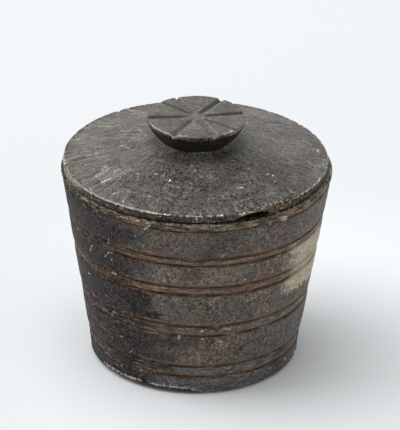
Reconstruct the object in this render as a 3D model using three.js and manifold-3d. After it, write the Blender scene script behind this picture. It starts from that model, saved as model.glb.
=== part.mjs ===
// Lidded round box carved from soapstone: a tapered, open container and a low domed lid whose
// flat-topped knob is cut from the same block of stone. Millimetres, +Z up, with the origin at
// the centre of the foot. The front is the -Y side, where the lid's edge is chipped.

import * as THREE from 'three';
import { mergeVertices } from 'three/addons/utils/BufferGeometryUtils.js';
import Module from 'manifold-3d';

// Container: outside
const footRadius = 51.3; // where the slanting wall line meets the ground
const rimRadius = 67.1;
const footRounding = 3.5;
const rimRounding = 1.6;

// Container: hollow
const wallThickness = 9.5; // measured level
const floorThickness = 12;
const hollowFillet = 10;
const mouthBevel = 1;

// Carved bands, from the foot up: a plain band, then the spacing of the pair of grooves above it
const footBand = 10.2;
const footPair = 6.3;
const lowerBand = 18.7;
const lowerPair = 5.55;
const middleBand = 18.5;
const middlePair = 4.4;
const shoulderBand = 12.8;
const shoulderPair = 3.85;
const upperBand = 16.15;
const rimBand = 3.95;
const grooveWidth = 1.3;
const grooveDepth = 0.9;
const rimLineWidth = 0.8;
const rimLineDepth = 0.5;

// Lid: disc and the plug below it
const lidInset = 2.1; // how far the lid's edge stays inside the rim
const lidEdge = 4.3;
const lidEdgeRounding = 0.7;
const plugHeight = 5;
const plugBevel = 1;
const plugClearance = 1; // all round, between the plug and the mouth
const seatGap = 0.3; // between the lid's underside and the rim

// Lid: dome and knob
const domeRise = 10.2; // from the lid's edge to where the dome's slope would meet the neck
const domeCrown = 0.5; // how far the slope bulges above a straight line
const neckRadius = 18.2;
const neckFlare = 2.8; // reach of the hollow curve that blends the dome into the neck
const neckRise = 0.9; // height of that curve up the neck
const knobRadius = 24.1;
const knobHeight = 10.5; // from the neck to the flat top
const knobBelly = 0.7; // how far the knob's side bulges outside a straight taper
const knobLip = 1.9; // upright edge below the flat top
const knobLipRounding = 0.5;

// Eight V-shaped strokes in the knob's top, all meeting near its centre. Widths and depths are
// those at the knob's rim, and angles run anticlockwise from +X.
const broadStroke = 4.1;
const narrowStroke = 2.4;
const deepStroke = 1.5;
const shallowStroke = 1;
const strokes = [
  { angle: 12.8, width: broadStroke, depth: deepStroke },
  { angle: 59.5, width: broadStroke, depth: deepStroke },
  { angle: 114.2, width: narrowStroke, depth: deepStroke },
  { angle: 136.7, width: narrowStroke, depth: shallowStroke },
  { angle: 183.4, width: broadStroke, depth: deepStroke },
  { angle: 242.5, width: broadStroke, depth: deepStroke },
  { angle: 292.4, width: broadStroke, depth: deepStroke },
  { angle: 324, width: narrowStroke, depth: shallowStroke },
];
const strokeStart = 2.5; // how far from the centre each stroke begins
const strokeOverrun = 1;

// Flake broken out of the lid's lower edge, seen from the front towards +X
const chipAngle = 23.8;
const chipLength = 17;
const chipHeight = 2.8;
const chipDepth = 4;

// Facets
const segments = 64;
const arcSteps = 4;

const bands = [
  { plain: footBand, pair: footPair },
  { plain: lowerBand, pair: lowerPair },
  { plain: middleBand, pair: middlePair },
  { plain: shoulderBand, pair: shoulderPair },
];
const bandsHeight = bands.reduce((sum, band) => sum + band.plain + band.pair, 0);
const bodyHeight = bandsHeight + upperBand + rimBand;
const flare = (rimRadius - footRadius) / bodyHeight;
const wallAt = (z) => footRadius + flare * z;
const mouthRadius = rimRadius - wallThickness;

const lidRadius = rimRadius - lidInset;
const lidUnder = bodyHeight + seatGap;
const lidTop = lidUnder + lidEdge;
const plugRadius = mouthRadius - plugClearance;
const neckHeight = lidTop + domeRise + neckRise;
const knobTop = neckHeight + knobHeight;

function arc(r, z, radius, from, to, steps = arcSteps) {
  const points = [];
  for (let i = 0; i <= steps; i += 1) {
    const angle = THREE.MathUtils.degToRad(from + ((to - from) * i) / steps);
    points.push([r + radius * Math.cos(angle), z + radius * Math.sin(angle)]);
  }
  return points;
}

// A smooth bend from start to end that leaves and arrives along the lines through the corner
function bend(start, corner, end, steps = arcSteps) {
  const toVector = ([r, z]) => new THREE.Vector2(r, z);
  const curve = new THREE.QuadraticBezierCurve(toVector(start), toVector(corner), toVector(end));
  return curve.getPoints(steps).map((point) => [point.x, point.y]);
}

// A slightly bowed line whose middle stands the given distance to the right of its chord
function bow(start, end, bulge) {
  const across = [end[0] - start[0], end[1] - start[1]];
  const length = Math.hypot(...across);
  const reach = (2 * bulge) / length;
  const middle = [(start[0] + end[0]) / 2, (start[1] + end[1]) / 2];
  return bend(start, [middle[0] + across[1] * reach, middle[1] - across[0] * reach], end);
}

// Turns a profile of [radius, height] points, listed from the lower axis point to the upper one
function turned(profile) {
  const points = profile.map(([r, z]) => new THREE.Vector2(r, z));
  return new THREE.LatheGeometry(points, segments).rotateX(Math.PI / 2);
}

function groove(z, width, depth) {
  return [
    [wallAt(z - width / 2), z - width / 2],
    [wallAt(z) - depth, z],
    [wallAt(z + width / 2), z + width / 2],
  ];
}

function containerProfile() {
  const profile = [[0, 0]];
  const footCentre = wallAt(footRounding) - footRounding;
  profile.push(...arc(footCentre, footRounding, footRounding, -90, 0));

  let height = 0;
  for (const { plain, pair } of bands) {
    height += plain;
    profile.push(...groove(height, grooveWidth, grooveDepth));
    height += pair;
    profile.push(...groove(height, grooveWidth, grooveDepth));
  }
  height += upperBand;
  profile.push(...groove(height, rimLineWidth, rimLineDepth));

  const rimCentre = rimRadius - rimRounding;
  profile.push(...arc(rimCentre, bodyHeight - rimRounding, rimRounding, 0, 90));
  profile.push([mouthRadius + mouthBevel, bodyHeight]);
  profile.push([wallAt(bodyHeight - mouthBevel) - wallThickness, bodyHeight - mouthBevel]);

  // The fillet touches both the slanting inner wall and the flat inner floor
  const filletHeight = floorThickness + hollowFillet;
  const slant = Math.hypot(1, flare);
  const filletCentre = wallAt(filletHeight) - wallThickness - hollowFillet * slant;
  const tangent = -THREE.MathUtils.radToDeg(Math.atan(flare));
  profile.push(...arc(filletCentre, filletHeight, hollowFillet, tangent, -90, arcSteps + 1));
  profile.push([0, floorThickness]);
  return profile;
}

function lidProfile() {
  const plugUnder = lidUnder - plugHeight;
  const edgeCentre = lidRadius - lidEdgeRounding;
  const neckCorner = [neckRadius, lidTop + domeRise];
  const flareDrop = (domeRise * neckFlare) / (edgeCentre - neckRadius);
  const flareStart = [neckRadius + neckFlare, neckCorner[1] - flareDrop];
  const neck = [neckRadius, neckHeight];
  const lipCentre = knobRadius - knobLipRounding;
  return [
    [0, plugUnder],
    [plugRadius - plugBevel, plugUnder],
    [plugRadius, plugUnder + plugBevel],
    [plugRadius, lidUnder],
    [edgeCentre, lidUnder],
    ...arc(edgeCentre, lidUnder + lidEdgeRounding, lidEdgeRounding, -45, 0, 1),
    ...arc(edgeCentre, lidTop - lidEdgeRounding, lidEdgeRounding, 0, 90, 2),
    ...bow([edgeCentre, lidTop], flareStart, domeCrown).slice(1),
    ...bend(flareStart, neckCorner, neck).slice(1),
    ...bow(neck, [knobRadius, knobTop - knobLip], knobBelly).slice(1),
    ...arc(lipCentre, knobTop - knobLipRounding, knobLipRounding, 0, 90, 2),
    [0, knobTop],
  ];
}

// A wedge whose section is a V of the given width and depth at the knob's rim and shrinks
// towards the centre. Its top stands above the stone so that the cut comes out clean.
function strokeWedge({ width, depth }) {
  const proud = depth;
  const section = [
    [-width, proud],
    [0, -depth],
    [width, proud],
  ];
  const ends = [
    { r: strokeStart, share: strokeStart / knobRadius },
    { r: knobRadius + strokeOverrun, share: 1 + strokeOverrun / knobRadius },
  ];
  const corners = ends.flatMap(({ r, share }) => section.map(([y, z]) => [r, y * share, z * share]));
  const faces = [0, 2, 1, 3, 4, 5, 0, 1, 4, 0, 4, 3, 1, 2, 5, 1, 5, 4, 2, 0, 3, 2, 3, 5];
  const geometry = new THREE.BufferGeometry();
  geometry.setAttribute('position', new THREE.Float32BufferAttribute(corners.flat(), 3));
  geometry.setIndex(faces);
  return geometry;
}

function chipScoop() {
  const scoop = new THREE.SphereGeometry(1, 16, 10);
  scoop.scale(chipLength / 2, chipDepth, chipHeight);
  scoop.translate(0, -lidRadius, lidUnder);
  return scoop.rotateZ(THREE.MathUtils.degToRad(chipAngle));
}

const wasm = await Module();
wasm.setup();

function toSolid(geometry) {
  const bare = geometry.clone();
  bare.deleteAttribute('normal');
  bare.deleteAttribute('uv');
  const merged = mergeVertices(bare, 1e-4);
  const vertProperties = new Float32Array(merged.attributes.position.array);
  const triVerts = new Uint32Array(merged.index.array);
  return new wasm.Manifold(new wasm.Mesh({ numProp: 3, vertProperties, triVerts }));
}

function toGeometry(solid) {
  const mesh = solid.getMesh();
  const geometry = new THREE.BufferGeometry();
  geometry.setAttribute('position', new THREE.BufferAttribute(mesh.vertProperties, 3));
  geometry.setIndex(new THREE.BufferAttribute(mesh.triVerts, 1));
  geometry.computeVertexNormals();
  return geometry;
}

function carvedLid() {
  let solid = toSolid(turned(lidProfile()));
  for (const stroke of strokes) {
    const wedge = strokeWedge(stroke).rotateZ(THREE.MathUtils.degToRad(stroke.angle));
    solid = solid.subtract(toSolid(wedge.translate(0, 0, knobTop)));
  }
  return toGeometry(solid.subtract(toSolid(chipScoop())));
}

// The same soapstone throughout: darkened and sooty on the container, greyer on the handled lid
const darkSoapstone = new THREE.MeshStandardMaterial({ color: 0x4f4843, roughness: 0.72, metalness: 0 });
const greySoapstone = new THREE.MeshStandardMaterial({ color: 0x6e6a66, roughness: 0.66, metalness: 0 });

const container = new THREE.Mesh(turned(containerProfile()), darkSoapstone);
container.name = 'container_body';

const lid = new THREE.Mesh(carvedLid(), greySoapstone);
lid.name = 'lid';

const stoneBox = new THREE.Group();
stoneBox.add(container, lid);

export default stoneBox;
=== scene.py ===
# %% [markdown]
# # A soapstone container with a loose lid
#
# The real object is carved from two blocks of soapstone, a stone so soft that knives, adzes and
# rasps cut it. Smoke, hands and red earth have darkened it since. A plain turned shape would
# look machine-made, so each piece here is a grid of rings whose points are then pushed about as
# the carver's tools and long use would push them.

import math

import bpy
import numpy as np
from mathutils import Matrix, Vector


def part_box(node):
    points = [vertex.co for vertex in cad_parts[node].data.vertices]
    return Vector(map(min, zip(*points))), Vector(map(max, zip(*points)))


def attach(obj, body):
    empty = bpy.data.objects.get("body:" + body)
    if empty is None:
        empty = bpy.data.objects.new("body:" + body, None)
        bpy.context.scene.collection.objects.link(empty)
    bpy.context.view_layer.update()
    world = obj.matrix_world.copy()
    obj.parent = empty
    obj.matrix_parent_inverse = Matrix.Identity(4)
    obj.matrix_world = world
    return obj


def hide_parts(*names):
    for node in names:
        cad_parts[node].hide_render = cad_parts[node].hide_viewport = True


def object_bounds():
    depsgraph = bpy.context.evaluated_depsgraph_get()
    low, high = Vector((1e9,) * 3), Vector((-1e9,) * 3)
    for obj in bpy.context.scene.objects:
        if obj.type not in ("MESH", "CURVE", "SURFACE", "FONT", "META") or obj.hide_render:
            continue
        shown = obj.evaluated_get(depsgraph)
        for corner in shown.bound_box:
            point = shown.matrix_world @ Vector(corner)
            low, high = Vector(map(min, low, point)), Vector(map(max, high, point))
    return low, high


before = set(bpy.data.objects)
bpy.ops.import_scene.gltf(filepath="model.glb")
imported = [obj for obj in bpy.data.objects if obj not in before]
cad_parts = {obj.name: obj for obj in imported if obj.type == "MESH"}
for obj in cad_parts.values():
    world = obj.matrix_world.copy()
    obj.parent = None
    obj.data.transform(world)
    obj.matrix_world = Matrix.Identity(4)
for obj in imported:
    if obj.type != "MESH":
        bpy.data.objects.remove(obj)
cad_box = [list(corner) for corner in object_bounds()]
cad_mm = [round(1000 * value, 1) for corner in cad_box for value in corner]
print("the packed part spans", cad_mm, "mm")

# %% [markdown]
# ## Sizes
#
# Lengths are in millimetres until a mesh is made. What the frame can tell is read from it, so
# the pieces stay in step with the solids. The rest are the carved details of the real one, each
# named once.

# %% Sizes read from the frame
MM = 0.001

container_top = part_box("container_body")[1] / MM
lid_bottom, lid_top_corner = (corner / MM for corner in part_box("lid"))

rim_radius = container_top.x
body_height = container_top.z
lid_radius = lid_top_corner.x
plug_under = lid_bottom.z
knob_top = lid_top_corner.z
print(f"rim radius {rim_radius:.1f}, body height {body_height:.1f}, knob top {knob_top:.1f} mm")

# %% Sizes of the container
foot_radius = 51.3
foot_rounding = 3.5
rim_rounding = 1.6
wall_thickness = 9.5
floor_thickness = 12
hollow_fillet = 10
mouth_bevel = 1
groove_width = 1.3
groove_depth = 0.9
rim_line_width = 0.8
rim_line_depth = 0.5

# Going up: a plain band, then the ridge between the two grooves of the pair above it
bands = [(10.2, 6.3), (18.7, 5.55), (18.5, 4.4), (12.8, 3.85)]
upper_band = 16.15

wall_slope = (rim_radius - foot_radius) / body_height


def wall_at(height):
    """Radius of the slanting outer wall at a height"""
    return foot_radius + wall_slope * height


groove_heights = list(np.cumsum(bands))
rim_line_height = groove_heights[-1] + upper_band
print("grooves at", [round(float(height), 1) for height in groove_heights], "mm")

# %% [markdown]
# ## Camera
#
# The photograph was taken from some way off, looking down at a little under 27 degrees. The
# camera was fitted to the outlines of the lid, the foot and the grooves. It is built here from
# its three directions, and rolled slightly because the photograph is not quite level.

# %% Camera
def put_in(name, data):
    """An object with this mesh, lens or light, put into the scene"""
    made = bpy.data.objects.new(name, data)
    bpy.context.scene.collection.objects.link(made)
    return made


looking_down = math.radians(26.71)
camera_roll = math.radians(0.829)
camera_distance = 1974.6 * MM
camera_aim = Vector((2.07, 0, 72.76)) * MM
lens_length = 334.88
film_width = 36
farthest_seen = 20  # metres

back = Vector((0, -math.cos(looking_down), math.sin(looking_down)))
level_right = Vector((1, 0, 0))
level_up = Vector((0, math.sin(looking_down), math.cos(looking_down)))
right = math.cos(camera_roll) * level_right + math.sin(camera_roll) * level_up
up = math.cos(camera_roll) * level_up - math.sin(camera_roll) * level_right

lens = bpy.data.cameras.new("camera")
lens.lens = lens_length
lens.sensor_width = film_width
lens.clip_end = farthest_seen
camera = put_in("camera", lens)
turned_axes = Matrix((right, up, back)).transposed().to_4x4()
camera.matrix_world = Matrix.Translation(camera_aim + back * camera_distance) @ turned_axes
bpy.context.scene.camera = camera
print("camera stands", round(camera_distance, 2), "m away")

# %% [markdown]
# ## Carver's noise
#
# Hand work is never even, so most shapes below need smooth random values. They come from a
# lattice: every corner of a grid of cells gets a fixed random value, and points inside a cell
# blend its eight corners. It needs no noise library and gives the same stone on every run.

# %% Smooth random values
def ramp(value, start, end):
    """Rises smoothly from 0 at start to 1 at end"""
    share = np.clip((value - start) / (end - start), 0, 1)
    return share * share * (3 - 2 * share)


def between(value, rise_start, rise_end, fall_start, fall_end):
    """Rises from 0 to 1, stays there, and falls back to 0"""
    return ramp(value, rise_start, rise_end) * ramp(value, fall_end, fall_start)


def bump(offset, width):
    """1 where the offset is 0, fading to nothing on both sides"""
    return np.exp(-((offset / width) ** 2))


def lattice(place, seed):
    """Smooth random values from 0 to 1, one patch to a cell; place counts cells"""
    cell = np.floor(place).astype(np.int64)
    part = place - cell
    part = part * part * (3 - 2 * part)
    total = np.zeros(place.shape[:-1])
    for corner in np.ndindex(2, 2, 2):
        index = cell + corner
        # The large odd numbers only stir a cell's address until it looks random
        mixed = index[..., 0] * 73856093 ^ index[..., 1] * 19349663 ^ index[..., 2] * 83492791
        mixed = (mixed ^ seed * 40503) * 2654435761 & 0xFFFFFFFF
        mixed = (mixed ^ mixed >> 15) * 2246822519 & 0xFFFFFFFF
        value = (mixed ^ mixed >> 13 & 0xFFFF) % 65536 / 65535
        total += value * np.prod(np.where(corner, part, 1 - part), axis=-1)
    return total


def blotches(place, size, seed, octaves=2):
    """Patches about size mm across (one size, or one for each axis), with finer ones in them"""
    total = 0
    weight = 0
    for octave in range(octaves):
        share = 0.5**octave
        total += share * lattice(place / np.array(size) / share, seed + octave)
        weight += share
    return total / weight


# %% [markdown]
# ## A grid of rings
#
# Both pieces are round, so one helper makes them: a profile turned round the axis, as rings of
# points. The columns stand closer together at the front, where the camera looks, than at the
# back. Each ring can be moved by a different amount at every column, which is what a lathe
# cannot do and a carver does.

# %% Columns round the axis
column_count = 450
front_half = 100
front_fade = 20
front_density = 2
fine_steps = 3601
usual_radius = 60

fine_turn = np.linspace(-180, 180, fine_steps)
thinning = ramp(np.abs(fine_turn), front_half + front_fade, front_half)
density = 1 + (front_density - 1) * thinning
running = np.concatenate([[0], np.cumsum((density[1:] + density[:-1]) / 2)])
even = np.arange(column_count) / column_count * running[-1]
turn_degrees = np.interp(even, running, fine_turn)
turn = np.radians(turn_degrees)
front_step = usual_radius * np.diff(turn)[column_count // 2]
print("front columns are", round(front_step, 2), "mm apart")


# %% Lines and arcs of a profile
def line(start, end, pitch):
    """Points of [radius, height] from start towards end, without the end itself"""
    steps = max(1, round(math.dist(start, end) / pitch))
    share = np.arange(steps) / steps
    return np.outer(1 - share, start) + np.outer(share, end)


def arc(centre, radius, start, end, pitch):
    """Points round a centre between two angles in degrees, without the last"""
    steps = max(2, round(abs(math.radians(end - start)) * radius / pitch))
    angle = np.radians(start + (end - start) * np.arange(steps) / steps)
    return np.array(centre) + radius * np.column_stack([np.cos(angle), np.sin(angle)])


def bend(start, corner, end, pitch):
    """A smooth bend that leaves and arrives along the lines through the corner"""
    steps = max(2, round(math.dist(start, end) / pitch))
    share = np.arange(steps) / steps
    weights = np.column_stack([(1 - share) ** 2, 2 * share * (1 - share), share**2])
    return weights @ np.array([start, corner, end])


def bow(start, end, bulge, pitch):
    """A line whose middle stands the given distance to the right of the straight one"""
    start, end = np.array(start), np.array(end)
    across = end - start
    side = np.array([across[1], -across[0]]) / np.linalg.norm(across)
    return bend(start, (start + end) / 2 + 2 * bulge * side, end, pitch)


# %% From rings to a mesh
class Rings:
    """A profile turned round the axis: named sections, and a grid of points for the noise"""

    def __init__(self, sections):
        points = np.concatenate(list(sections.values()))
        self.names = np.concatenate([[name] * len(part) for name, part in sections.items()])
        self.radius = points[:, :1]
        self.height = points[:, 1:]
        tangent = np.gradient(points, axis=0)
        tangent /= np.linalg.norm(tangent, axis=1, keepdims=True)
        self.out = tangent[:, 1:]
        self.upward = -tangent[:, :1]
        self.place = self.points(self.radius, self.height)

    def points(self, radius, height):
        """Points in mm at these radii and heights, one ring to a row"""
        grid = [radius * np.sin(turn), -radius * np.cos(turn), height + 0 * turn]
        return np.stack(grid, axis=-1)

    def on(self, *sections):
        """1 on the rings of these sections and 0 elsewhere, as a column"""
        return np.isin(self.names, sections)[:, None].astype(float)


# A mask above 1 covers the grains that noise would leave bare
fullest_mask = 1.5


def make_piece(name, grid, masks, centre):
    """Joins a grid of points in mm, closed by a point at each end, into one mesh"""
    rings, columns = grid.shape[:2]
    grid = grid + np.array([centre[0], centre[1], 0])
    ends = [grid[0].mean(axis=0), grid[-1].mean(axis=0)]
    points = np.concatenate([grid.reshape(-1, 3), ends]) * MM

    index = np.arange(rings * columns).reshape(rings, columns)
    beside = np.roll(index, -1, axis=1)
    corners = [index[:-1], beside[:-1], beside[1:], index[1:]]
    faces = np.stack(corners, axis=-1).reshape(-1, 4).tolist()
    first, last = rings * columns, rings * columns + 1
    faces += [(first, b, a) for a, b in zip(index[0].tolist(), beside[0].tolist())]
    faces += [(a, b, last) for a, b in zip(index[-1].tolist(), beside[-1].tolist())]

    mesh = bpy.data.meshes.new(name)
    mesh.from_pydata(points.tolist(), [], faces)
    mesh.shade_smooth()
    for mask, values in masks.items():
        whole = np.clip(values + np.zeros((rings, columns)), 0, fullest_mask)
        whole = np.concatenate([whole.ravel(), [whole[0].mean(), whole[-1].mean()]])
        layer = mesh.attributes.new(mask, "FLOAT", "POINT")
        layer.data.foreach_set("value", whole.astype(np.float32))
    piece = put_in(name, mesh)
    print(name, "has", sum(len(face) - 2 for face in faces), "triangles")
    return piece


mark_haze = 0.25  # mm that a mark takes to fade out past its width
shortest_mark = 1e-6  # lets a mark be a dot, with no length to divide by


def mark_strength(across, along, marks):
    """Short strokes listed as (turn, reach, turn, reach, width, strength), fading round them

    Across is the distance from the axis. Along is what reach counts: the height on the wall,
    and the distance from the axis on the lid.
    """
    strength = np.zeros(np.broadcast(across, along).shape)
    for turn_a, along_a, turn_b, along_b, width, brightness in marks:
        arc_length = np.radians(1) * across
        side = (turn_degrees - turn_a) * arc_length
        rise = along - along_a
        reach_side = (turn_b - turn_a) * arc_length
        reach_rise = along_b - along_a
        share = (side * reach_side + rise * reach_rise) / (
            reach_side**2 + reach_rise**2 + shortest_mark
        )
        share = np.clip(share, 0, 1)
        distance = np.hypot(side - share * reach_side, rise - share * reach_rise)
        faded = ramp(distance, width + mark_haze, 0.2 * width)
        strength = np.maximum(strength, brightness * faded)
    return strength


# %% [markdown]
# ## The container
#
# The real wall looks scraped down by hand, and its grooves look cut with the point of a knife. A
# groove could be a boolean cut or a bump in the material. Here the rings themselves form the
# V, nine to a groove, so that the groove shows on the outline and can wander, vary in depth and
# crumble at its edges as a hand-cut one does.

# %% Profile of the container
plain_pitch = 1.15
ridge_pitch = 0.8
rings_in_groove = 9
rings_below_rim = 5

cuts = [(height, groove_width) for height in groove_heights] + [(rim_line_height, rim_line_width)]
heights = [foot_rounding]
for number, (centre, width) in enumerate(cuts):
    start = centre - width / 2
    pitch = ridge_pitch if number % 2 else plain_pitch
    plain = max(1, round((start - heights[-1]) / pitch))
    heights += list(np.linspace(heights[-1], start, plain + 1)[1:])
    heights += list(centre + width / 2 * np.linspace(-1, 1, rings_in_groove)[1:])
top_rings = np.linspace(heights[-1], body_height - rim_rounding, rings_below_rim)
heights = np.append(heights, top_rings[1:-1])

foot_centre = wall_at(foot_rounding) - foot_rounding
rim_centre = rim_radius - rim_rounding
mouth_radius = rim_radius - wall_thickness
mouth_low = body_height - mouth_bevel
fillet_height = floor_thickness + hollow_fillet
fillet_centre = wall_at(fillet_height) - wall_thickness - hollow_fillet * math.hypot(1, wall_slope)
fillet_start = -math.degrees(math.atan(wall_slope))
inner_top = (wall_at(mouth_low) - wall_thickness, mouth_low)
inner_low = (
    fillet_centre + hollow_fillet * math.cos(math.radians(fillet_start)),
    fillet_height + hollow_fillet * math.sin(math.radians(fillet_start)),
)

# The last number of each line and arc is how far apart its rings are, in mm
body = Rings({
    "underside": line((1.5, 0), (foot_centre, 0), 11),
    "foot": arc((foot_centre, foot_rounding), foot_rounding, -90, 0, 0.7),
    "wall": np.column_stack([wall_at(heights), heights]),
    "rim": arc((rim_centre, body_height - rim_rounding), rim_rounding, 0, 90, 0.45),
    "rim top": line((rim_centre, body_height), (mouth_radius + mouth_bevel, body_height), 1.2),
    "mouth": line((mouth_radius + mouth_bevel, body_height), inner_top, 0.7),
    "inner wall": line(inner_top, inner_low, 5),
    "fillet": arc((fillet_centre, fillet_height), hollow_fillet, fillet_start, -90, 2.2),
    "inner floor": line((fillet_centre, floor_thickness), (1, floor_thickness), 7),
})
wall = body.on("foot", "wall", "rim")
print("the container has", len(body.names), "rings")

# %% [markdown]
# The grooves of the real container lean: the carver worked by eye. Each one gets its own slow
# wander and its own changing depth, and the whole set drops by half a degree towards the right.
# The rings between two grooves share the shift of both, so no ring ever crosses another.

# %% Wandering grooves
groove_lean = math.tan(math.radians(0.5))
wander = 0.45
wander_length = 26
other_stone = 40  # each groove takes its noise this many mm further off, so that none are alike
rim_line_share = 0.4  # the line below the rim follows the rim, so it wanders less

levels = [0] + [centre for centre, width in cuts] + [body_height]
shifts = [0 * turn]
for number, (centre, width) in enumerate(cuts):
    ring = body.points(wall_at(centre), other_stone * number)
    sideways = blotches(ring, wander_length, 11) - 0.5
    lean = -groove_lean * wall_at(centre) * np.sin(turn)
    shifts.append(lean + 2 * wander * sideways)
shifts[-1] = rim_line_share * shifts[-1]
shifts.append(0 * turn)
shifts = np.array(shifts)

above = np.clip(np.searchsorted(levels, body.height[:, 0], side="right"), 1, len(levels) - 1)
low_level, high_level = np.array(levels)[above - 1], np.array(levels)[above]
share = ((body.height[:, 0] - low_level) / (high_level - low_level))[:, None]
shift = ((1 - share) * shifts[above - 1] + share * shifts[above]) * wall

cut, in_groove, painted_groove_shade, near_edge, above_edge = np.zeros((5, *shift.shape))
lip_above = 0.75  # mm from a groove to the middle of the pale lip over it
for number, (centre, width) in enumerate(cuts):
    depth = rim_line_depth if number == len(cuts) - 1 else groove_depth
    ring = body.points(wall_at(centre), other_stone * number)
    # How hard the carver pressed, and how wide the blade opened the groove
    hand = 0.65 + 0.55 * blotches(ring, 9, 23, octaves=3)
    broad = 0.85 + 0.5 * blotches(ring, 4, 27)
    offset = (body.height - centre) / (width / 2) / broad
    section = np.clip(1 - np.abs(offset) ** 1.5, 0, 1)
    cut += depth * hand * section
    in_groove = np.maximum(in_groove, ramp(np.abs(offset), 1.8, 0.8))
    # Painted shade on each groove's upper side, darker where the groove is cut deeper
    root = between(offset, -1.5, -0.6, 0.9, 1.6)
    painted_groove_shade = np.maximum(painted_groove_shade, root * (0.35 + 0.65 * ramp(hand, 0.72, 0.98)))
    beyond = np.maximum(np.abs(body.height - centre) - width / 2, 0)
    near_edge += bump(beyond, 1.1) * (np.abs(offset) > 0.99)
    lip = bump(body.height - centre - width / 2 - lip_above, lip_above)
    above_edge += lip * (number < len(groove_heights))
print("grooves are cut", round(float(cut[cut > 0.3].mean()), 2), "mm deep on average")

# %% [markdown]
# Between the grooves the wall carries the flats left by the scraper, small dents, and a few
# chips where the stone was knocked. They are all pushed inwards, because the solid that this
# piece stands for is the size of the whole stone.

# %% Scraped wall, worn rim and foot
place = body.place
degrees = turn_degrees
wall_height = body.height + shift

# Each is a depth in mm times a pattern of patches: their size in mm, then the pattern's seed
out_of_round = 0.3 * blotches(place, 45, 31, octaves=1)
flats = 0.32 * blotches(place, (8, 8, 13), 37)
tooth = 0.26 * blotches(place, (1.8, 1.8, 2.4), 39)
dents = 0.35 * ramp(blotches(place, 3.2, 41, octaves=1), 0.72, 0.95)
pits = 0.3 * ramp(blotches(place, 1.7, 43, octaves=1), 0.8, 1)
crumbs = blotches(place, 2.4, 47)

ridges = sum(
    between(body.height, low, low + 0.8, high - 0.8, high)
    for low, high in zip(groove_heights[0::2], groove_heights[1::2])
)
rim_band = ramp(wall_height, rim_line_height - 0.4, rim_line_height + 0.5) * wall
rim_nicks = ramp(crumbs, 0.52, 0.8) * body.on("rim", "rim top")
foot_nicks = ramp(blotches(place, 3.5, 53), 0.6, 0.85) * body.on("foot")

# %% Named knocks and scratches on the wall
# Turn from the front in degrees and height in mm at both ends, width in mm, and brightness
pale_marks = [
    (-45, 71.5, -41.6, 75.6, 0.6, 0.8),
    (-41.2, 74.4, -39.6, 76, 0.6, 0.7),
    (-40.6, 69.4, -40.8, 71.4, 0.6, 0.7),
    (-41.6, 63.3, -39.5, 63.5, 0.8, 0.9),
    (-41.4, 81.6, -41.2, 82.6, 0.6, 0.7),
    (-41, 92.5, -40.6, 93, 0.6, 0.5),
    (-28.4, 88, -26.2, 90.4, 0.5, 0.5),
    (-22.8, 82.5, -21, 82.9, 0.7, 0.9),
    (-17.6, 94, -16.6, 94.2, 0.5, 0.5),
    (-18.6, 67.3, -18.3, 70.6, 0.5, 0.5),
    (-17, 58, -16, 54, 0.6, 0.55),
    (-16, 54, -15.4, 52.4, 0.8, 0.7),
    (-18, 51.5, -19, 48, 0.7, 0.5),
    (-17.2, 49, -16.4, 44, 0.7, 0.5),
    (-44.6, 39.3, -42.6, 39.4, 0.9, 0.8),
    (-42.2, 33.3, -41.6, 34, 0.7, 0.7),
    (-38.6, 34.4, -36, 34.5, 0.7, 0.6),
    (-18, 32.6, -17.2, 32.2, 0.7, 0.6),
    (-7.6, 33.3, -7.3, 34.4, 1.0, 1),
    (-54, 74, -51.4, 74.4, 0.7, 0.6),
    (-25.2, 4.6, -24.6, 4.4, 0.7, 0.7),
    (-14, 2.6, -12.4, 2.4, 0.8, 0.7),
    (3, 67.6, 3.4, 67.4, 0.7, 0.6),
    (22.6, 67.6, 23.4, 65.4, 0.6, 0.7),
    (5.9, 61.6, 6.4, 61.5, 0.6, 0.7),
    (40.2, 75.2, 41.6, 74.8, 1.0, 0.75),
    (30, 55.4, 30.2, 53.6, 0.6, 0.55),
    (12.4, 47.8, 16.6, 42, 0.6, 0.55),
    (15, 38.8, 18, 37.6, 0.9, 0.8),
    (3.2, 37.8, 4, 38, 0.7, 0.8),
    (4, 33.2, 4.3, 33.4, 0.8, 0.95),
    (42.6, 37.6, 43.6, 37, 0.8, 0.8),
    (30.2, 27.4, 32.8, 23.6, 0.6, 0.5),
    (43, 20.4, 43.8, 19.6, 0.7, 0.7),
    (60.4, 6.8, 61.8, 5.4, 1.0, 0.9),
    (64, 24, 66, 23.2, 0.8, 0.6),
]
rim_chips = [
    (-21.6, 95.4, -19.2, 98, 0.8, 1),
    (-36, 98.8, -34.6, 97.8, 0.8, 0.9),
    (-33.4, 99.6, -24, 100.1, 0.6, 0.8),
    (-57.6, 100.6, -52, 100.4, 0.7, 0.8),
    (-67, 98.4, -64, 98, 1.0, 0.7),
    (38.6, 98, 41.8, 96.4, 1.2, 1),
    (38.8, 96.6, 40.6, 96.2, 0.9, 1),
    (33, 96.2, 33.8, 97.2, 0.8, 0.9),
    (15.5, 98.8, 17.5, 99.2, 0.8, 0.8),
    (22, 99.4, 25, 99.2, 0.7, 0.7),
    (10, 99.6, 11, 99.4, 0.7, 0.7),
]
scratches = mark_strength(body.radius, wall_height, pale_marks) * wall
knocks = mark_strength(body.radius, wall_height, rim_chips) * wall
print(len(pale_marks), "marks on the wall and", len(rim_chips), "chips in the rim")

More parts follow.
